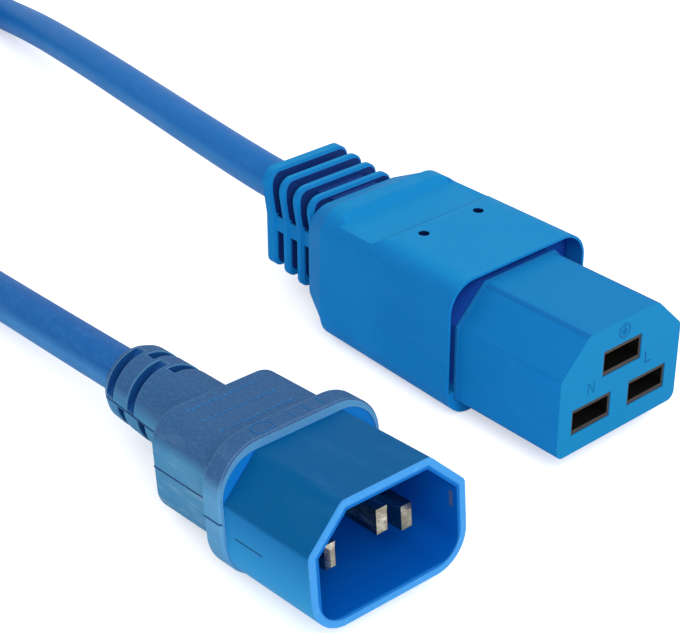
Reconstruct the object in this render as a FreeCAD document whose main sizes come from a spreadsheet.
import FreeCAD, Part

import math
import os
import re

import Sketcher
from FreeCAD import Placement, Rotation, Vector

# A data centre jumper cord with a moulded three-slot connector on one end and a shrouded three-pin plug
# on the other. The frame: +X is the way the connector is pushed on, +Z is up, and the origin is the
# middle of the connector body's underside, which lies on the floor like the plug and the coil.

SIZES = [
    # Connector: mating nose
    ("nose_width", 27.9, "nose, across"),
    ("nose_height", 20.2, "nose, bottom to top"),
    ("nose_length", 22.5, "nose, from the body's front face"),
    ("nose_chamfer", 6.0, "cut-off upper corners of the nose"),
    ("nose_corner", 1.5, "radius of the nose's lower corners"),
    ("nose_lift", 2.8, "nose underside above the body's underside"),
    # Connector: moulded body
    ("body_front", 17.1, "body's front face, ahead of the origin"),
    ("body_rear", 15.5, "body's rear edge, behind the origin"),
    ("body_front_width", 31.5, "body, across its front"),
    ("body_rear_width", 29.4, "body, across its rear"),
    ("body_front_height", 24.8, "body height at its front"),
    ("body_rear_height", 25.4, "body height at its rear"),
    ("body_corner", 5.3, "radius of the body's long edges"),
    ("lip_wall", 0.45, "rim left round the recessed front face"),
    ("lip_depth", 4.0, "depth of the recessed front face"),
    ("lip_sill", 4.9, "lower end of the recess, above the floor"),
    ("nose_edge", 1.4, "rounding of the nose's cut corners"),
    ("bead_height", 0.25, "bead round the nose at the body's front"),
    ("bead_width", 0.5, "bead, along the nose"),
    ("shoulder_length", 6.0, "sloping shoulder behind the body"),
    ("shoulder_width", 24.0, "shoulder, across its rear"),
    ("shoulder_height", 19.7, "shoulder height at its rear"),
    ("shoulder_lift", 2.9, "shoulder's rear edge above the floor"),
    ("shoulder_corner", 4.5, "radius of the shoulder's rear corners"),
    ("shoulder_step", 0.2, "small step where the shoulder meets the body"),
    ("grip_recess_rear", -12.9, "rear end of the thumb recess on top"),
    ("grip_recess_front", -0.7, "front end of the thumb recess"),
    ("grip_recess_depth", 1.75, "thumb recess below the body's rear height"),
    ("recess_rear_slope", 1.2, "run of the thumb recess's steep rear end"),
    ("recess_front_slope", 3.0, "run of its gentle front end"),
    ("dimple_place", 1.3, "ejector dimples, ahead of the body's middle"),
    ("dimple_spread", 12.6, "between the two dimples"),
    ("dimple_bore", 1.9, "dimple diameter"),
    ("dimple_depth", 1.1, "dimple depth"),
    # Connector: ribbed boot
    ("rib_thickness", 1.85, "each rib of the boot"),
    ("rib_gap", 2.0, "gap between two ribs"),
    ("rib_edge", 0.5, "bevel round the ribs"),
    ("end_plate", 2.7, "thicker plate at the boot's end"),
    ("boot_rear_width", 18.7, "boot, across its end plate"),
    ("boot_front_width", 19.0, "boot, across its front rib"),
    ("boot_rear_height", 19.6, "boot height at its end plate"),
    ("boot_front_height", 20.0, "boot height at its front rib"),
    ("boot_rear_lift", 4.5, "end plate's underside above the floor"),
    ("boot_front_lift", 2.8, "front rib's underside above the floor"),
    ("boot_waist", 0.8, "ribs' lower sides set in from their upper ones"),
    ("boot_waist_top", 3.2, "where the ribs start to narrow, below their top"),
    ("boot_corner", 2.5, "radius of the ribs' upper corners"),
    ("boot_foot", 2.0, "radius of the ribs' lower corners"),
    ("boot_core_width", 10.2, "core inside the ribs, across"),
    ("boot_core_height", 13.4, "core inside the ribs, height"),
    ("boot_core_lift", 8.6, "core's underside above the floor"),
    ("rail_low", 12.2, "side rail's lower edge above the floor"),
    ("rail_high", 15.0, "side rail's upper edge above the floor"),
    # Connector: black contact carrier
    ("slot_pitch", 13.0, "between the line and neutral slots"),
    ("slot_rise", 8.0, "earth slot above the other two"),
    ("slot_height", 8.5, "line and neutral slots above the floor"),
    ("slot_width", 8.1, "slot opening, across"),
    ("slot_opening", 3.2, "slot opening, height"),
    ("sleeve_side", 0.4, "sleeve wall at the slot's ends"),
    ("sleeve_wall", 0.7, "sleeve wall above and below the slot"),
    ("sleeve_setback", 0.2, "sleeve ends behind the nose's face"),
    ("slot_depth", 19.0, "slot, from the nose's face"),
    ("carrier_front", 15.5, "front of the carrier block"),
    ("carrier_rear", 5.0, "rear of the carrier block"),
    ("carrier_width", 23.0, "carrier block, across"),
    ("carrier_height", 14.6, "carrier block, height"),
    ("carrier_lift", 5.6, "carrier block above the floor"),
    ("carrier_chamfer", 5.0, "cut-off upper corners of the carrier block"),
    # Contacts, shared strip sizes
    ("contact_setback", 4.0, "contact mouth behind the nose's face"),
    ("contact_clearance", 0.2, "between a contact and its slot"),
    ("contact_strip", 0.45, "thickness of the contact strip"),
    ("contact_seam", 1.2, "open seam along the contact"),
    ("contact_neck", 2.6, "width of the contact's neck"),
    ("crimp_outer", 3.3, "crimp barrel, outside"),
    ("crimp_bore", 2.1, "crimp barrel, bore"),
    ("crimp_length", 7.0, "crimp barrel, length"),
    ("crimp_front", 2.5, "front of the connector's crimp barrels"),
    # Wires and cord
    ("wire_outer", 2.8, "insulated wire, outside"),
    ("wire_lay", 1.7, "wires' axes from the cord's axis"),
    ("wire_bare", 1.0, "bare conductor between insulation and barrel"),
    ("cord_outer", 7.7, "cord jacket, outside"),
    ("cord_height", 15.8, "cord axis above the floor at the boot"),
    ("jacket_inset", 14.0, "cord jacket inside each boot"),
    ("wire_straight", 4.0, "straight wire beside the jacket and the crimp"),
    ("wire_bend", 4.0, "radius of the wires' bends"),
    # Plug: shroud
    ("shroud_width", 28.2, "shroud, across"),
    ("shroud_height", 19.5, "shroud, height"),
    ("shroud_length", 18.8, "shroud, from the collar to the rim"),
    ("shroud_wall", 1.6, "shroud wall"),
    ("shroud_chamfer", 6.2, "cut-off upper corners of the shroud"),
    ("shroud_edge", 1.4, "rounding of the shroud's cut corners"),
    ("shroud_corner", 5.8, "radius of the shroud's lower corners"),
    ("shroud_inner_corner", 3.2, "radius of the lower corners inside"),
    ("base_thickness", 2.6, "plate that the shroud stands on"),
    ("base_corner", 6.4, "radius of the plate's corners"),
    ("base_setback", 0.15, "plate's face behind the collar's face"),
    ("pin_block_width", 19.6, "block that holds the pins, across"),
    ("pin_block_height", 12.0, "block that holds the pins, height"),
    ("pin_block_length", 6.0, "block that holds the pins, length"),
    # Plug: pins
    ("pin_pitch", 14.0, "between the line and neutral pins"),
    ("pin_drop", 1.5, "line and neutral pins below the middle"),
    ("pin_rise", 4.0, "earth pin above the other two"),
    ("pin_thickness", 2.0, "pin, across"),
    ("pin_height", 4.0, "pin, height"),
    ("pin_setback", 4.0, "line and neutral tips behind the rim"),
    ("earth_lead", 3.0, "earth tip ahead of the other tips"),
    ("pin_tip", 0.6, "chamfer round the pin tips"),
    # Plug: moulded grip
    ("collar_height", 22.0, "collar, height"),
    ("collar_drop", 10.72, "collar's underside below the plug's middle"),
    ("collar_length", 4.0, "collar, length"),
    ("collar_corner", 7.8, "radius of the collar's corners"),
    ("grip_width", 24.5, "grip, across"),
    ("collar_overhang", 2.6, "collar beyond each side of the grip"),
    ("grip_height", 17.2, "grip, height"),
    ("grip_length", 16.4, "grip, length"),
    ("grip_corner", 4.9, "radius of the grip's long edges"),
    ("plug_boot_length", 22.6, "boot behind the grip"),
    ("plug_boot_rear", 13.0, "boot diameter at its end"),
    ("plug_boot_front", 14.3, "boot diameter at the grip"),
    ("plug_boot_round", 2.0, "rounding of the boot's end"),
    ("plug_boot_droop", 3.2, "boot's tilt, down towards the grip, degrees"),
    ("plug_cord_rise", 1.5, "cord axis above the middle of the grip"),
    ("plug_exit", 6.0, "straight cord behind the plug's boot"),
    ("groove_width", 2.2, "crescent grooves of the plug's boot"),
    ("groove_depth", 1.9, "depth of the crescent grooves"),
    ("groove_pitch", 5.9, "between two crescent grooves"),
    ("groove_first", 1.7, "first groove from the boot's end"),
    ("edge_bevel", 0.6, "small bevel of moulded edges"),
    # Where the plug lies
    ("plug_place", 46.6, "middle of the shroud's rim, ahead of the origin"),
    ("plug_side", 55.2, "middle of the shroud's rim, beside the origin"),
    ("plug_turn", -1.0, "plug's turn about the vertical, degrees"),
    ("plug_tilt", 4.5, "plug's nose-up tilt on its collar, degrees"),
    # Coil of put-away cord
    ("coil_back", 220.0, "middle of the coil behind the origin"),
    ("coil_side", 22.2, "middle of the coil beside the origin"),
    ("coil_turn_radius", 50.6, "axis of the outermost turn"),
    ("coil_inner_radius", 30.8, "axis of the innermost turn"),
    ("coil_layers", 2, "layers of turns"),
    ("coil_tail", 30.0, "straight ends that leave the coil"),
    ("tail_in_angle", 85.0, "where the connector's lead joins the coil, degrees"),
    ("tail_out_angle", -78.0, "where the plug's lead leaves the coil, degrees"),
    ("tie_angle", 185.0, "where the tie sits on the coil, degrees"),
    ("tie_width", 11.0, "tie, along the coil"),
    ("tie_strip", 1.0, "thickness of the tie"),
    ("tie_corner", 3.0, "outer radius of the tie's bends"),
    ("coil_bevel", 2.1, "bevel of the coil's rims"),
]

# The cord's way between its boots and the coil, as corners of its route
CONNECTOR_ROUTE = [(-40, 0, 15.8), (-60, 3.1, 14.3), (-92, 9.8, 11.5), (-126, 16.1, 8.5), (-160, 22.0, 5.0)]
PLUG_ROUTE = [(-53, -52.9, 5.95), (-88, -52.4, 3.95), (-122, -54.6, 3.95), (-150, -59.3, 7.6)]

# Crescent grooves of the plug's boot: the middle angle of each quarter and how far its pair is shifted
GROOVE_QUARTERS = [(133.0, "0"), (48.0, "groove_pitch / 2"), (228.0, "groove_pitch / 2"), (313.0, "0")]

os.makedirs("parts", exist_ok=True)
doc = FreeCAD.newDocument("PowerCord")
sheet = doc.addObject("Spreadsheet::Sheet", "Sizes")
for row, (alias, number, note) in enumerate(SIZES, start=1):
    sheet.set(f"A{row}", note)
    sheet.set(f"B{row}", str(number))
    sheet.setAlias(f"B{row}", alias)
doc.recompute()


def size(alias):
    """A driving size, read back from the sheet."""
    return float(sheet.get(alias))


def formula(text):
    """An expression on the sheet's sizes, written with their bare names."""
    return re.sub(r"[a-z]+(?:_[a-z]+)+", lambda found: "Sizes." + found.group(0), text)


def bind(thing, **formulas):
    """Ties properties of an object to the sheet; two underscores in a name stand for a dot."""
    for name, text in formulas.items():
        thing.setExpression(name.replace("__", "."), formula(text))


# Sketches and features


def new_body(label):
    body = doc.addObject("PartDesign::Body", label)
    body.Label = label
    return body


def sketch_on(body, name, role="YZ_Plane", offset="0"):
    """A sketch on one of the body's own origin planes, moved along the plane's normal."""
    sketch = body.newObject("Sketcher::SketchObject", name)
    plane = [item for item in body.Origin.OriginFeatures if item.Role == role][0]
    sketch.AttachmentSupport = [(plane, "")]
    sketch.MapMode = "FlatFace"
    bind(sketch, AttachmentOffset__Base__z=offset)
    return sketch


def draw_polygon(sketch, points):
    """A closed polygon whose every corner is tied to the sheet; points are pairs of formulas."""
    rough = [(math.cos(2 * math.pi * n / len(points)), math.sin(2 * math.pi * n / len(points)))
             for n in range(len(points))]
    first = sketch.GeometryCount
    for n, (here, there) in enumerate(zip(rough, rough[1:] + rough[:1])):
        start = Vector(20 * here[0], 20 * here[1], 0)
        end = Vector(20 * there[0], 20 * there[1], 0)
        sketch.addGeometry(Part.LineSegment(start, end), False)
    count = len(points)
    for n in range(count):
        after = first + (n + 1) % count
        sketch.addConstraint(Sketcher.Constraint("Coincident", first + n, 2, after, 1))
    for n, (across, up) in enumerate(points):
        for kind, text in (("DistanceX", across), ("DistanceY", up)):
            index = sketch.addConstraint(Sketcher.Constraint(kind, -1, 1, first + n, 1, 1.0 + n))
            sketch.setExpression(f"Constraints[{index}]", formula(text))


def draw_rectangle(sketch, width, height, low):
    """A rectangle centred across the sketch, standing on low."""
    half = f"({width}) / 2"
    top = f"({low}) + ({height})"
    draw_polygon(sketch, [(f"-{half}", low), (half, low), (half, top), (f"-{half}", top)])


def draw_keyed(sketch, width, height, low, cut, corner):
    """A rectangle with its upper corners cut off and its lower ones rounded, standing on low."""
    half = f"({width}) / 2"
    top = f"({low}) + ({height})"
    lines = []
    for start, end in (((-8, -10), (8, -10)), ((10, -8), (10, 5)), ((10, 5), (5, 10)), ((5, 10), (-5, 10)),
                       ((-5, 10), (-10, 5)), ((-10, 5), (-10, -8))):
        lines.append(sketch.addGeometry(Part.LineSegment(Vector(*start, 0), Vector(*end, 0)), False))
    for joint in range(1, 5):
        sketch.addConstraint(Sketcher.Constraint("Coincident", lines[joint], 2, lines[joint + 1], 1))
    arcs = []
    for side, start, before, after in ((1, 1.5, 0, 1), (-1, 1.0, 5, 0)):
        circle = Part.Circle(Vector(8 * side, -8, 0), Vector(0, 0, 1), 2.0)
        arc = sketch.addGeometry(Part.ArcOfCircle(circle, start * math.pi, (start + 0.5) * math.pi), False)
        sketch.addConstraint(Sketcher.Constraint("Tangent", lines[before], 2, arc, 1))
        sketch.addConstraint(Sketcher.Constraint("Tangent", arc, 2, lines[after], 1))
        radius = sketch.addConstraint(Sketcher.Constraint("Radius", arc, 2.0))
        sketch.setExpression(f"Constraints[{radius}]", formula(corner))
        arcs.append(arc)
    places = [
        (lines[1], 2, half, f"{top} - ({cut})"), (lines[2], 2, f"{half} - ({cut})", top),
        (lines[3], 2, f"-{half} + ({cut})", top), (lines[4], 2, f"-{half}", f"{top} - ({cut})"),
        (arcs[0], 3, f"{half} - ({corner})", f"({low}) + ({corner})"),
        (arcs[1], 3, f"-{half} + ({corner})", f"({low}) + ({corner})"),
    ]
    for item, point, across, up in places:
        for kind, text in (("DistanceX", across), ("DistanceY", up)):
            index = sketch.addConstraint(Sketcher.Constraint(kind, -1, 1, item, point, 1.0))
            sketch.setExpression(f"Constraints[{index}]", formula(text))


def draw_rounded(sketch, width, height, low, corner):
    """A rectangle with equal rounded corners, centred across the sketch and standing on low."""
    across = f"(({width}) / 2 - ({corner}))"
    bottom = f"(({low}) + ({corner}))"
    top = f"(({low}) + ({height}) - ({corner}))"
    centres = [(1, 1, across, top), (-1, 1, f"-{across}", top),
               (-1, -1, f"-{across}", bottom), (1, -1, across, bottom)]
    arcs = []
    for n, (right, up, _, _) in enumerate(centres):
        circle = Part.Circle(Vector(8 * right, 8 * up, 0), Vector(0, 0, 1), 2.0)
        start = n * math.pi / 2
        arcs.append(sketch.addGeometry(Part.ArcOfCircle(circle, start, start + math.pi / 2), False))
    lines = []
    for n, (right, up, _, _) in enumerate(centres):
        after = centres[(n + 1) % 4]
        middle = Vector(5.0 * (right + after[0]), 5.0 * (up + after[1]), 0)
        along = Vector(8 * (after[0] - right) / 2, 8 * (after[1] - up) / 2, 0)
        lines.append(sketch.addGeometry(Part.LineSegment(middle - along, middle + along), False))
    for n in range(4):
        sketch.addConstraint(Sketcher.Constraint("Tangent", arcs[n], 2, lines[n], 1))
        sketch.addConstraint(Sketcher.Constraint("Tangent", lines[n], 2, arcs[(n + 1) % 4], 1))
    for n, (_, _, sideways, level) in enumerate(centres):
        radius = sketch.addConstraint(Sketcher.Constraint("Radius", arcs[n], 2.0))
        sketch.setExpression(f"Constraints[{radius}]", formula(corner))
        for kind, text in (("DistanceX", sideways), ("DistanceY", level)):
            index = sketch.addConstraint(Sketcher.Constraint(kind, -1, 1, arcs[n], 3, 1.0))
            sketch.setExpression(f"Constraints[{index}]", formula(text))


def draw_circle(sketch, diameter, across="0", up="0"):
    index = sketch.addGeometry(Part.Circle(Vector(1, 1, 0), Vector(0, 0, 1), 2.0), False)
    radius = sketch.addConstraint(Sketcher.Constraint("Radius", index, 2.0))
    sketch.setExpression(f"Constraints[{radius}]", formula(f"({diameter}) / 2"))
    for kind, text in (("DistanceX", across), ("DistanceY", up)):
        place = sketch.addConstraint(Sketcher.Constraint(kind, -1, 1, index, 3, 1.0))
        sketch.setExpression(f"Constraints[{place}]", formula(text))


def pad(body, name, sketch, length):
    feature = body.newObject("PartDesign::Pad", name)
    feature.Profile = sketch
    bind(feature, Length=length)
    doc.recompute()
    return feature


def pocket(body, name, sketch, length, forward=False):
    """A cut that goes against the sketch's normal, or along it where forward is set."""
    feature = body.newObject("PartDesign::Pocket", name)
    feature.Profile = sketch
    feature.Reversed = forward
    bind(feature, Length=length)
    doc.recompute()
    return feature


def loft(body, name, start, end):
    feature = body.newObject("PartDesign::AdditiveLoft", name)
    feature.Profile = start
    feature.Sections = [end]
    feature.Ruled = True
    doc.recompute()
    return feature


def edges_where(feature, test):
    """Names of the feature's edges whose two ends pass the test."""
    names = []
    for number, edge in enumerate(feature.Shape.Edges, start=1):
        ends = [vertex.Point for vertex in edge.Vertexes]
        if len(ends) == 2 and test(ends[0], ends[1]):
            names.append(f"Edge{number}")
    return names


def round_edges(body, name, feature, test, radius):
    names = edges_where(feature, test)
    if not names:
        raise ValueError(f"{name} found no edge to round")
    fillet = body.newObject("PartDesign::Fillet", name)
    fillet.Base = (feature, names)
    bind(fillet, Radius=radius)
    doc.recompute()
    return fillet


def chamfer_edges(body, name, feature, test, cut):
    names = edges_where(feature, test)
    if not names:
        raise ValueError(f"{name} found no edge to cut")
    chamfer = body.newObject("PartDesign::Chamfer", name)
    chamfer.Base = (feature, names)
    bind(chamfer, Size=cut)
    doc.recompute()
    return chamfer


def runs_along(a, b, shortest=0.5):
    """True for an edge that runs mostly along X."""
    across = math.hypot(a.y - b.y, a.z - b.z)
    return abs(a.x - b.x) > max(shortest, 1.5 * across)


def near(a, b, reach=0.01):
    return abs(a - b) < reach


# Plain solids that are set by code


def place(thing, frame, x=0.0, y=0.0, z=0.0):
    """Puts a sub-part at a point of the frame that it belongs to."""
    thing.Placement = frame.multiply(Placement(Vector(x, y, z), Rotation()))


def solid_node(label, shape):
    node = doc.addObject("Part::Feature", label)
    node.Label = label
    node.Shape = shape
    return node


def cut_away(label, base, tools):
    """The base less every tool, so that the pieces inside it are bedded face to face."""
    fused = doc.addObject("Part::MultiFuse", label + "_cavity")
    fused.Shapes = tools
    cut = doc.addObject("Part::Cut", label)
    cut.Label = label
    cut.Base = base
    cut.Tool = fused
    return cut


def route_wire(points, largest=math.inf):
    """Straight runs joined by tangent arcs, as large as the runs and the largest radius allow."""
    edges = []
    radii = []
    at = points[0]
    for before, corner, after in zip(points, points[1:], points[2:]):
        come = (corner - before).normalize()
        go = (after - corner).normalize()
        turn = come.getAngle(go)
        shorter = min((corner - before).Length, (after - corner).Length)
        radius = min(0.45 * shorter / math.tan(turn / 2), largest)
        trim = radius * math.tan(turn / 2)
        start = corner - come * trim
        end = corner + go * trim
        inward = (go - come).normalize()
        middle = corner + inward * (radius / math.cos(turn / 2) - radius)
        edges.append(Part.LineSegment(at, start).toShape())
        edges.append(Part.Arc(start, middle, end).toShape())
        radii.append(radius)
        at = end
    edges.append(Part.LineSegment(at, points[-1]).toShape())
    return Part.Wire(edges), radii


def tube(points, diameter, name, largest=math.inf):
    """A plain tube along the route, with its volume compared with section times length."""
    wire, radii = route_wire(points, largest)
    along = (points[1] - points[0]).normalize()
    section = Part.Wire([Part.makeCircle(diameter / 2, points[0], along)])
    shape = wire.makePipeShell([section], True, False)
    expected = math.pi * diameter ** 2 / 4 * wire.Length
    if abs(shape.Volume - expected) > 0.01 * expected:
        raise ValueError(f"{name}: volume {shape.Volume:.1f}, expected {expected:.1f}")
    print(name, "length", round(wire.Length, 1), "radii", [round(radius, 1) for radius in radii])
    return shape


WORLD = Placement()

# Connector body: the moulded shell with its nose, thumb recess and ribbed boot

SHOULDER_REAR = "body_rear + shoulder_length"
BOOT_REAR = f"{SHOULDER_REAR} + 4 * rib_gap + 3 * rib_thickness + end_plate"
FACE = "body_front + nose_length"
RIB_COUNT = 3

face_x = size("body_front") + size("nose_length")
shoulder_rear_x = -size("body_rear") - size("shoulder_length")
rib_step = size("rib_thickness") + size("rib_gap")
boot_rear_x = shoulder_rear_x - rib_step * RIB_COUNT - size("rib_gap") - size("end_plate")


def draw_profile(body, name, points):
    """A side-view outline for a cut that goes right through the body."""
    sketch = sketch_on(body, name, "XZ_Plane", "-body_front_width")
    draw_polygon(sketch, points)
    return pocket(body, f"{name}_cut", sketch, "2 * body_front_width", forward=True)


def add_main_body(body):
    """The tapered block: its plan padded up, its top sloped and its long edges rounded."""
    plan = sketch_on(body, "body_plan", "XY_Plane")
    draw_polygon(plan, [
        ("-body_rear", "-body_rear_width / 2"), ("body_front", "-body_front_width / 2"),
        ("body_front", "body_front_width / 2"), ("-body_rear", "body_rear_width / 2"),
    ])
    pad(body, "body_block", plan, "body_rear_height")
    top = draw_profile(body, "body_top", [
        ("-body_rear", "body_rear_height"), ("body_front", "body_front_height"),
        ("body_front + 1", "body_front_height"), ("body_front + 1", "body_rear_height + 1"),
        ("-body_rear", "body_rear_height + 1"),
    ])
    return round_edges(body, "body_corners", top, runs_along, "body_corner")


def add_shoulder(body):
    """The sloping shoulder between the body and the boot."""
    rear = sketch_on(body, "shoulder_rear_section", offset=f"-({SHOULDER_REAR})")
    draw_rounded(rear, "shoulder_width", "shoulder_height", "shoulder_lift", "shoulder_corner")
    front = sketch_on(body, "shoulder_front_section", offset="-body_rear")
    draw_rounded(front, "body_rear_width - 2 * shoulder_step", "body_rear_height - 2 * shoulder_step",
                 "shoulder_step", "body_corner - shoulder_step")
    loft(body, "shoulder", rear, front)


def draw_rib(sketch, width, height, lift):
    """One rib of the boot: wide at the top and set in below its shoulders."""
    top = f"(({lift}) + ({height}))"
    wide = f"(({width}) / 2)"
    slim = f"({wide} - boot_waist)"
    draw_polygon(sketch, [
        (f"-{slim}", lift), (slim, lift), (slim, "rail_high"), (wide, f"{top} - boot_waist_top"),
        (wide, top), (f"-{wide}", top), (f"-{wide}", f"{top} - boot_waist_top"), (f"-{slim}", "rail_high"),
    ])


def add_boot(body):
    """The flexible boot: a core, bevelled ribs that grow forwards, and a rail on each side."""
    core = sketch_on(body, "boot_core_outline", offset=f"-({BOOT_REAR}) + end_plate / 2")
    draw_rectangle(core, "boot_core_width", "boot_core_height", "boot_core_lift")
    pad(body, "boot_core", core, f"{BOOT_REAR} - end_plate / 2 - ({SHOULDER_REAR}) + 1")
    for number in range(RIB_COUNT + 1):
        part = f"{number} / {RIB_COUNT}"
        width = f"boot_rear_width + (boot_front_width - boot_rear_width) * {part}"
        height = f"boot_rear_height + (boot_front_height - boot_rear_height) * {part}"
        lift = f"boot_rear_lift + (boot_front_lift - boot_rear_lift) * {part}"
        length = "rib_thickness" if number else "end_plate"
        start = f"-({BOOT_REAR})"
        if number:
            start += f" + end_plate + rib_gap + {number - 1} * (rib_gap + rib_thickness)"
        outline = sketch_on(body, f"rib_outline_{number}", offset=start)
        draw_rib(outline, width, height, lift)
        rib = pad(body, f"rib_{number}", outline, length)
        rear_x = boot_rear_x
        if number:
            rear_x += size("end_plate") + size("rib_gap") + (number - 1) * rib_step
        front_x = rear_x + size(length)

        def across(a, b):
            return near(min(a.x, b.x), rear_x) and near(max(a.x, b.x), front_x)

        def upper(a, b):
            return across(a, b) and min(a.z, b.z) > size("boot_front_height")

        def lower(a, b):
            return across(a, b) and max(a.z, b.z) < size("boot_core_lift")

        def on_rim(a, b):
            outside = max(abs(a.y), abs(b.y)) > size("boot_core_width") / 2 + 0.5
            return near(a.x, b.x) and outside and (near(a.x, rear_x) or near(a.x, front_x))

        rib = round_edges(body, f"rib_corners_{number}", rib, upper, "boot_corner")
        rib = round_edges(body, f"rib_feet_{number}", rib, lower, "boot_foot")
        chamfer_edges(body, f"rib_bevel_{number}", rib, on_rim, "rib_edge")
    rails = sketch_on(body, "rail_plan", "XY_Plane", "rail_low")
    inset = "(boot_waist + rib_edge)"
    rear = f"-({BOOT_REAR}) + rib_edge"
    front = f"-({SHOULDER_REAR}) + 0.5"
    draw_polygon(rails, [
        (rear, f"-boot_rear_width / 2 + {inset}"), (front, f"-boot_front_width / 2 + {inset}"),
        (front, f"boot_front_width / 2 - {inset}"), (rear, f"boot_rear_width / 2 - {inset}"),
    ])
    pad(body, "side_rails", rails, "rail_high - rail_low")


def make_connector_shell():
    """The one-piece outer moulding, before the pieces inside it are cut away."""
    body = new_body("connector_shell")
    add_main_body(body)
    add_shoulder(body)
    add_boot(body)
    floor = "body_rear_height - grip_recess_depth"
    draw_profile(body, "thumb_recess", [
        ("grip_recess_rear", "body_rear_height + 1"), ("grip_recess_rear", "body_rear_height"),
        ("grip_recess_rear + recess_rear_slope", floor), ("grip_recess_front - recess_front_slope", floor),
        ("grip_recess_front", "body_rear_height"), ("grip_recess_front", "body_rear_height + 1"),
    ])
    dimple = sketch_on(body, "dimple_circles", "XY_Plane", "body_rear_height - dimple_depth")
    for side in ("-dimple_spread / 2", "dimple_spread / 2"):
        draw_circle(dimple, "dimple_bore", "dimple_place", side)
    pocket(body, "dimples", dimple, "body_rear_height", forward=True)
    inside = "body_front_width - 2 * lip_wall"
    lip = sketch_on(body, "front_recess_outline", offset="body_front")
    draw_rounded(lip, inside, "body_front_height - lip_wall - lip_sill", "lip_sill", "body_corner - lip_wall")
    pocket(body, "front_recess", lip, "lip_depth")
    sill = sketch_on(body, "recess_sill_outline", offset="body_front")
    draw_rectangle(sill, inside, "body_corner", "lip_sill")
    pocket(body, "recess_sill", sill, "lip_depth")
    outline = sketch_on(body, "nose_outline", offset="body_front - lip_depth - 1")
    draw_keyed(outline, "nose_width", "nose_height", "nose_lift", "nose_chamfer", "nose_corner")
    nose = pad(body, "nose", outline, "nose_length + lip_depth + 1")

    def on_cut_corner(a, b):
        high = min(a.z, b.z) > size("nose_lift") + size("nose_height") / 2
        return high and near(max(a.x, b.x), face_x) and runs_along(a, b, size("nose_length"))

    round_edges(body, "nose_edges", nose, on_cut_corner, "nose_edge")
    bead = sketch_on(body, "bead_outline", offset="body_front")
    draw_keyed(bead, "nose_width + 2 * bead_height", "nose_height + 2 * bead_height",
               "nose_lift - bead_height", "nose_chamfer + 0.6 * bead_height", "nose_corner + bead_height")
    pad(body, "nose_bead", bead, "bead_width")
    return body


# Connector carrier, contacts, crimps and wires

SLOTS = {
    "line": ("slot_pitch / 2", "slot_height", -30.0),
    "neutral": ("-slot_pitch / 2", "slot_height", 210.0),
    "earth": ("0", "slot_height + slot_rise", 90.0),
}
PINS = {
    "line": ("-pin_pitch / 2", "-pin_drop", 210.0, "0"),
    "neutral": ("pin_pitch / 2", "-pin_drop", -30.0, "0"),
    "earth": ("0", "pin_rise - pin_drop", 90.0, "earth_lead"),
}
SLOT_PLACES = {
    "line": (size("slot_pitch") / 2, size("slot_height")),
    "neutral": (-size("slot_pitch") / 2, size("slot_height")),
    "earth": (0.0, size("slot_height") + size("slot_rise")),
}
PIN_PLACES = {
    "line": (-size("pin_pitch") / 2, -size("pin_drop")),
    "neutral": (size("pin_pitch") / 2, -size("pin_drop")),
    "earth": (0.0, size("pin_rise") - size("pin_drop")),
}


def make_carrier():
    """The black block with its three sleeves, whole, and the boxes of its slots and their mouths."""
    block = new_body("carrier_block")
    outline = sketch_on(block, "carrier_outline", offset="carrier_rear")
    draw_keyed(outline, "carrier_width", "carrier_height", "carrier_lift", "carrier_chamfer",
               "nose_corner")
    pad(block, "carrier_pad", outline, "carrier_front - carrier_rear")
    sleeves = []
    holes = []
    mouths = []
    for name, (across, up, _) in SLOTS.items():
        sleeve = doc.addObject("Part::Box", f"sleeve_{name}")
        bind(sleeve, Length=f"{FACE} - sleeve_setback - carrier_front + 1",
             Width="slot_width + 2 * sleeve_side", Height="slot_opening + 2 * sleeve_wall",
             Placement__Base__x="carrier_front - 1",
             Placement__Base__y=f"{across} - slot_width / 2 - sleeve_side",
             Placement__Base__z=f"{up} - slot_opening / 2 - sleeve_wall")
        hole = doc.addObject("Part::Box", f"slot_{name}")
        bind(hole, Length="slot_depth", Width="slot_width", Height="slot_opening",
             Placement__Base__x=f"{FACE} - slot_depth",
             Placement__Base__y=f"{across} - slot_width / 2",
             Placement__Base__z=f"{up} - slot_opening / 2")
        mouth = doc.addObject("Part::Box", f"sleeve_mouth_{name}")
        bind(mouth, Length="2 * sleeve_setback", Width="slot_width + 2 * sleeve_side",
             Height="slot_opening + 2 * sleeve_wall", Placement__Base__x=f"{FACE} - sleeve_setback",
             Placement__Base__y=f"{across} - slot_width / 2 - sleeve_side",
             Placement__Base__z=f"{up} - slot_opening / 2 - sleeve_wall")
        sleeves.append(sleeve)
        holes.append(hole)
        mouths.append(mouth)
    whole = doc.addObject("Part::MultiFuse", "carrier_whole")
    whole.Shapes = [block] + sleeves
    return whole, holes, mouths


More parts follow.
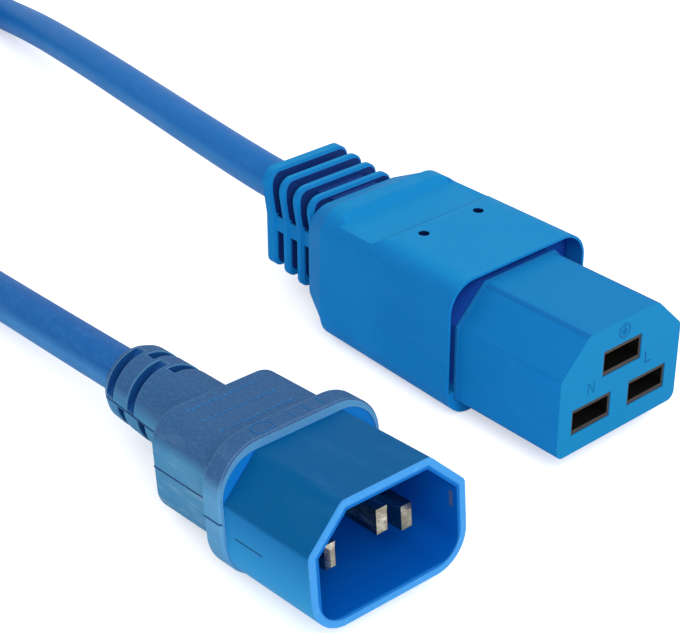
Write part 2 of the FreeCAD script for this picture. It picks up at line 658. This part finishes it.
def make_contact(kind):
    """A folded spring contact with an open seam, its neck and its crimp barrel."""
    across, up, _ = SLOTS[kind]
    body = new_body(f"connector_contact_{kind}")
    outer = ("slot_width - 2 * contact_clearance", "slot_opening - 2 * contact_clearance")
    ring = sketch_on(body, f"contact_section_{kind}", offset=f"{FACE} - slot_depth")
    draw_rectangle(ring, outer[0], outer[1], f"-({outer[1]}) / 2")
    draw_rectangle(ring, f"{outer[0]} - 2 * contact_strip", f"{outer[1]} - 2 * contact_strip",
                   f"-({outer[1]}) / 2 + contact_strip")
    pad(body, f"contact_box_{kind}", ring, "slot_depth - contact_setback")
    seam = sketch_on(body, f"contact_seam_{kind}", offset=f"{FACE} - slot_depth")
    draw_rectangle(seam, "contact_seam", "contact_strip + 1", f"({outer[1]}) / 2 - contact_strip - 0.2")
    pocket(body, f"contact_seam_cut_{kind}", seam, "slot_depth", forward=True)
    neck = sketch_on(body, f"contact_neck_{kind}", offset="crimp_front")
    draw_rectangle(neck, "contact_neck", "contact_strip", f"-({outer[1]}) / 2")
    pad(body, f"contact_neck_pad_{kind}", neck, f"{FACE} - slot_depth + 1 - crimp_front")
    barrel = sketch_on(body, f"crimp_section_{kind}", offset="crimp_front - crimp_length")
    draw_circle(barrel, "crimp_outer")
    pad(body, f"crimp_pad_{kind}", barrel, "crimp_length + 0.6")
    bore = sketch_on(body, f"crimp_bore_{kind}", offset="crimp_front - crimp_length")
    draw_circle(bore, "crimp_bore")
    pocket(body, f"crimp_bore_cut_{kind}", bore, "crimp_length", forward=True)
    place(body, WORLD, 0, *SLOT_PLACES[kind])
    return body


def make_conductor(label, rear_x, frame, spot):
    """The stripped copper end: inside the crimp barrel and a little way out of it."""
    core = doc.addObject("Part::Cylinder", label)
    core.Label = label
    bind(core, Radius="crimp_bore / 2", Height="crimp_length + wire_bare")
    lying = Placement(Vector(rear_x - size("wire_bare"), *spot), Rotation(Vector(0, 1, 0), 90))
    core.Placement = frame.multiply(lying)
    return core


def make_wire(label, jacket_end, crimp_rear, axis_z, angle, spot, frame):
    """An insulated wire from the jacket's end to its conductor, bending out to its contact."""
    lay = size("wire_lay")
    turn = math.radians(angle)
    start = (lay * math.cos(turn), axis_z + lay * math.sin(turn))
    straight = size("wire_straight")
    points = [
        Vector(jacket_end, *start),
        Vector(jacket_end + straight, *start),
        Vector(crimp_rear - size("wire_bare") - straight, *spot),
        Vector(crimp_rear - size("wire_bare"), *spot),
    ]
    wire = solid_node(label, tube(points, size("wire_outer"), label, size("wire_bend")))
    wire.Placement = frame
    return wire


def make_connector():
    """The whole connector: every piece is bedded in the moulding round it."""
    shell = make_connector_shell()
    whole, holes, mouths = make_carrier()
    jacket_end = boot_rear_x + size("jacket_inset")
    crimp_rear = size("crimp_front") - size("crimp_length")
    contacts = []
    inner = []
    for kind, (_, _, angle) in SLOTS.items():
        spot = SLOT_PLACES[kind]
        contacts.append(make_contact(kind))
        inner.append(make_conductor(f"connector_conductor_{kind}", crimp_rear, WORLD, spot))
        inner.append(make_wire(f"connector_wire_{kind}", jacket_end, crimp_rear, size("cord_height"),
                               angle, spot, WORLD))
    carrier = cut_away("connector_carrier", whole, holes + contacts)
    body = cut_away("connector_body", shell, [whole] + mouths + contacts + inner + [jacket_bore()])
    return [body, carrier] + contacts + inner


def jacket_bore():
    """The straight jacket end inside the connector's boot, as a tool for its bore."""
    bore = doc.addObject("Part::Cylinder", "connector_jacket_bore")
    bind(bore, Radius="cord_outer / 2", Height="jacket_inset + 1")
    bore.Placement = Placement(Vector(boot_rear_x - 1, 0, size("cord_height")), Rotation(Vector(0, 1, 0), 90))
    return bore


# Plug: modelled in its own frame, the middle of the shroud's rim, then laid on the floor

COLLAR_FRONT = "-shroud_length"
COLLAR_REAR = "-shroud_length - collar_length"
GRIP_REAR = "-shroud_length - collar_length - grip_length"
PLUG_REAR = f"{GRIP_REAR} - plug_boot_length"
collar_front_x = -size("shroud_length")
collar_rear_x = collar_front_x - size("collar_length")
grip_rear_x = collar_rear_x - size("grip_length")
plug_rear_x = grip_rear_x - size("plug_boot_length")
base_face_x = collar_front_x - size("base_setback")
block_rear_x = base_face_x - size("base_thickness") - size("pin_block_length")


def plug_frame():
    """The plug rests on the lower rear edge of its collar, nose up by its tilt."""
    tilt = math.radians(size("plug_tilt"))
    height = -collar_rear_x * math.sin(tilt) + size("collar_drop") * math.cos(tilt)
    turned = Rotation(Vector(0, 0, 1), size("plug_turn")) * Rotation(Vector(0, 1, 0), -size("plug_tilt"))
    return Placement(Vector(size("plug_place"), -size("plug_side"), height), turned)


PLUG = plug_frame()


def make_shroud():
    """The hard shroud on its base plate, with the block behind it that holds the pins."""
    body = new_body("shroud_whole")
    outline = sketch_on(body, "shroud_outline", offset=f"{COLLAR_FRONT} - base_setback")
    draw_keyed(outline, "shroud_width", "shroud_height", "-shroud_height / 2", "shroud_chamfer",
               "shroud_corner")
    walls = pad(body, "shroud_walls", outline, "shroud_length + base_setback")
    round_edges(body, "shroud_edges", walls,
                lambda a, b: min(a.z, b.z) > 0 and near(max(a.x, b.x), 0) and runs_along(a, b, 9.0),
                "shroud_edge")
    outline = sketch_on(body, "base_outline", offset=f"{COLLAR_FRONT} - base_setback - base_thickness")
    draw_rounded(outline, "shroud_width", "shroud_height", "-shroud_height / 2", "base_corner")
    pad(body, "base_plate", outline, "base_thickness")
    hollow = sketch_on(body, "shroud_hollow_outline")
    draw_keyed(hollow, "shroud_width - 2 * shroud_wall", "shroud_height - 2 * shroud_wall",
               "-shroud_height / 2 + shroud_wall", "shroud_chamfer - shroud_wall * (2 - sqrt(2))",
               "shroud_inner_corner")
    pocket(body, "shroud_hollow", hollow, "shroud_length + base_setback")
    outline = sketch_on(body, "pin_block_outline",
                        offset=f"{COLLAR_FRONT} - base_setback - base_thickness - pin_block_length")
    draw_rectangle(outline, "pin_block_width", "pin_block_height", "-pin_block_height / 2")
    pad(body, "pin_block", outline, "pin_block_length + 0.5")
    body.Placement = PLUG
    return body


def make_pin(kind):
    """A flat pin with a chamfered tip and its crimp barrel behind the pin block."""
    across, up, _, lead = PINS[kind]
    body = new_body(f"plug_pin_{kind}")
    block_rear = f"{COLLAR_FRONT} - base_setback - base_thickness - pin_block_length"
    section = sketch_on(body, f"pin_section_{kind}", offset=block_rear)
    draw_rectangle(section, "pin_thickness", "pin_height", "-pin_height / 2")
    blade = pad(body, f"pin_blade_{kind}", section, f"-pin_setback + {lead} - ({block_rear})")
    tip = -size("pin_setback") + (size("earth_lead") if kind == "earth" else 0.0)
    chamfer_edges(body, f"pin_tip_{kind}", blade, lambda a, b: near(a.x, tip) and near(b.x, tip), "pin_tip")
    barrel = sketch_on(body, f"pin_crimp_{kind}", offset=f"{block_rear} - crimp_length")
    draw_circle(barrel, "crimp_outer")
    pad(body, f"pin_crimp_pad_{kind}", barrel, "crimp_length")
    bore = sketch_on(body, f"pin_bore_{kind}", offset=f"{block_rear} - crimp_length")
    draw_circle(bore, "crimp_bore")
    pocket(body, f"pin_bore_cut_{kind}", bore, "crimp_length", forward=True)
    place(body, PLUG, 0, *PIN_PLACES[kind])
    return body


def make_grip_shell():
    """The moulded grip and its collar, before the pieces inside are cut away."""
    body = new_body("grip_shell")
    outline = sketch_on(body, "grip_outline", offset=GRIP_REAR)
    draw_rounded(outline, "grip_width", "grip_height", "-grip_height / 2", "grip_corner")
    grip = pad(body, "grip", outline, "grip_length + 1")
    chamfer_edges(body, "grip_rear_bevel", grip,
                  lambda a, b: near(a.x, grip_rear_x) and near(b.x, grip_rear_x), "edge_bevel")
    outline = sketch_on(body, "collar_outline", offset=COLLAR_REAR)
    draw_rounded(outline, "grip_width + 2 * collar_overhang", "collar_height", "-collar_drop", "collar_corner")
    collar = pad(body, "collar", outline, "collar_length")

    def on_collar_rim(a, b):
        outside = abs(a.y) > size("grip_width") / 2 or abs(a.z) > size("grip_height") / 2
        return near(a.x, b.x) and outside and (near(a.x, collar_rear_x) or near(a.x, collar_front_x))

    chamfer_edges(body, "collar_bevel", collar, on_collar_rim, "edge_bevel / 2")
    seat = sketch_on(body, "base_seat_outline", offset=COLLAR_FRONT)
    draw_rounded(seat, "shroud_width", "shroud_height", "-shroud_height / 2", "base_corner")
    pocket(body, "base_seat", seat, "base_setback")
    body.Placement = PLUG
    return body


def make_plug_boot():
    """The round boot in a frame of its own: X runs along its axis from the end of the boot."""
    body = new_body("plug_boot_shell")
    profile = sketch_on(body, "boot_profile", "XZ_Plane")
    end = "plug_boot_rear / 2"
    length = "plug_boot_length + 1"
    draw_polygon(profile, [
        ("0", "0"), ("0", f"{end} - plug_boot_round"),
        ("0.3 * plug_boot_round", f"{end} - 0.3 * plug_boot_round"), ("plug_boot_round", end),
        (length, "plug_boot_front / 2"), (length, "0"),
    ])
    boot = body.newObject("PartDesign::Revolution", "plug_boot")
    boot.Profile = profile
    boot.ReferenceAxis = (profile, ["H_Axis"])
    boot.Angle = 360
    doc.recompute()
    for number, (middle, shift) in enumerate(GROOVE_QUARTERS, start=1):
        cut_grooves(body, number, middle, shift)
    droop = Rotation(Vector(0, 1, 0), size("plug_boot_droop"))
    body.Placement = PLUG.multiply(Placement(Vector(plug_rear_x, 0, size("plug_cord_rise")), droop))
    return body


def cut_grooves(body, number, middle, shift):
    """Two flat-bottomed grooves, which come out as crescents, on the boot's side at an angle."""
    sketch = sketch_on(body, f"groove_outline_{number}", "XZ_Plane")
    for pitch in ("0", "groove_pitch"):
        start = f"groove_first + {shift} + {pitch}"
        draw_polygon(sketch, [
            (start, "-plug_boot_front"), (f"{start} + groove_width", "-plug_boot_front"),
            (f"{start} + groove_width", "plug_boot_front"), (start, "plug_boot_front"),
        ])
    turn = math.radians(middle + 180)
    floor = "(plug_boot_rear / 2 - groove_depth)"
    sketch.AttachmentOffset = Placement(Vector(), Rotation(Vector(1, 0, 0), middle + 180))
    bind(sketch, AttachmentOffset__Base__y=f"{floor} * {-math.sin(turn):.6f}",
         AttachmentOffset__Base__z=f"{floor} * {math.cos(turn):.6f}")
    doc.recompute()
    pocket(body, f"crescents_{number}", sketch, "plug_boot_front", forward=True)


def make_plug():
    """The whole plug, laid on the floor beside the connector."""
    shell = doc.addObject("Part::MultiFuse", "plug_moulding")
    shell.Shapes = [make_grip_shell(), make_plug_boot()]
    whole = make_shroud()
    jacket_end = plug_rear_x + size("jacket_inset")
    crimp_rear = block_rear_x - size("crimp_length")
    pins = []
    inner = []
    for kind, (_, _, angle, _) in PINS.items():
        spot = PIN_PLACES[kind]
        pins.append(make_pin(kind))
        inner.append(make_conductor(f"plug_conductor_{kind}", crimp_rear, PLUG, spot))
        inner.append(make_wire(f"plug_wire_{kind}", jacket_end, crimp_rear, size("plug_cord_rise"),
                               angle, spot, PLUG))
    bore = doc.addObject("Part::Cylinder", "plug_jacket_bore")
    bind(bore, Radius="cord_outer / 2", Height="jacket_inset + 1")
    lying = Placement(Vector(plug_rear_x - 1, 0, size("plug_cord_rise")), Rotation(Vector(0, 1, 0), 90))
    bore.Placement = PLUG.multiply(lying)
    shroud = cut_away("plug_shroud", whole, pins)
    grip = cut_away("plug_grip", shell, [whole] + pins + inner + [bore])
    return [grip, shroud] + pins + inner


# Cord: two leads and the coil of the length between them


def coil_point(angle, radius, z):
    turn = math.radians(angle)
    return Vector(-size("coil_back") + radius * math.cos(turn), -size("coil_side") + radius * math.sin(turn), z)


def tail(angle, z, way):
    """The tangent point on the outermost turn and the far end of the straight tail there."""
    turn = math.radians(angle)
    touch = coil_point(angle, size("coil_turn_radius"), z)
    along = Vector(-math.sin(turn), math.cos(turn), 0) * way
    return touch, touch + along * size("coil_tail")


def make_cord():
    """The leads as tubes, and the coil as one closed solid that the tied turns fill."""
    diameter = size("cord_outer")
    low = diameter / 2
    high = low + diameter * (size("coil_layers") - 1)
    touch_in, end_in = tail(size("tail_in_angle"), low, -1)
    touch_out, end_out = tail(size("tail_out_angle"), high, 1)
    lead = [Vector(boot_rear_x + size("jacket_inset"), 0, size("cord_height"))]
    lead += [Vector(*corner) for corner in CONNECTOR_ROUTE] + [end_in]
    connector_lead = solid_node("cord_lead_connector", tube(lead, diameter, "cord_lead_connector"))

    rise = size("plug_cord_rise")
    straight = (size("jacket_inset"), -size("plug_exit"))
    lead = [PLUG.multVec(Vector(plug_rear_x + along, 0, rise)) for along in straight]
    lead += [Vector(*corner) for corner in PLUG_ROUTE] + [end_out]
    plug_lead = solid_node("cord_lead_plug", tube(lead, diameter, "cord_lead_plug"))

    outer = size("coil_turn_radius") + low
    inner = size("coil_inner_radius") - low
    height = diameter * size("coil_layers")
    bevel = size("coil_bevel")
    section = [(inner, bevel), (inner + bevel, 0), (outer - bevel, 0), (outer, bevel),
               (outer, height - bevel), (outer - bevel, height), (inner + bevel, height),
               (inner, height - bevel), (inner, bevel)]
    face = Part.Face(Part.makePolygon([Vector(across, 0, up) for across, up in section]))
    ring = face.revolve(Vector(0, 0, 0), Vector(0, 0, 1), 360)
    ring.translate(Vector(-size("coil_back"), -size("coil_side"), 0))
    for touch, end in ((touch_in, end_in), (touch_out, end_out)):
        way = end - touch
        ring = ring.fuse(Part.makeCylinder(low, way.Length, touch, way))
    coil = ring.removeSplitter()
    tie = make_tie(inner, outer, height)
    coil_node = solid_node("cord_coil", coil.cut(tie.Shape))
    return [connector_lead, plug_lead, coil_node, tie]


def make_tie(inner, outer, height):
    """A closed strap round the coil; its lower run presses into the turns, flush with the floor."""
    strip = size("tie_strip")
    width = size("tie_width")
    reach = outer - inner + 2 * strip
    corner = size("tie_corner")
    band = Part.makeBox(reach, width, height + strip, Vector(inner - strip, -width / 2, 0))
    band = band.makeFillet(corner, [edge for edge in band.Edges if near(edge.BoundBox.YLength, width)])
    hole = Part.makeBox(reach - 2 * strip, width, height - strip, Vector(inner, -width / 2, strip))
    hole = hole.makeFillet(corner - strip, [edge for edge in hole.Edges if near(edge.BoundBox.YLength, width)])
    shape = band.cut(hole)
    shape.rotate(Vector(0, 0, 0), Vector(0, 0, 1), size("tie_angle"))
    shape.translate(Vector(-size("coil_back"), -size("coil_side"), 0))
    return solid_node("coil_tie", shape)


# Build, check and write every sub-part

nodes = make_connector() + make_plug() + make_cord()
doc.recompute()

for item in doc.Objects:
    if "Invalid" in item.State or "Error" in item.State:
        raise ValueError(f"{item.Name} failed: {item.State}")
for node in nodes:
    if node.Shape.isNull() or not node.Shape.isValid():
        raise ValueError(f"{node.Label} has no valid shape")
    node.Shape.exportStep(f"parts/{node.Label}.step")
    print(node.Label, "solids", len(node.Shape.Solids), "volume", round(node.Shape.Volume, 1))
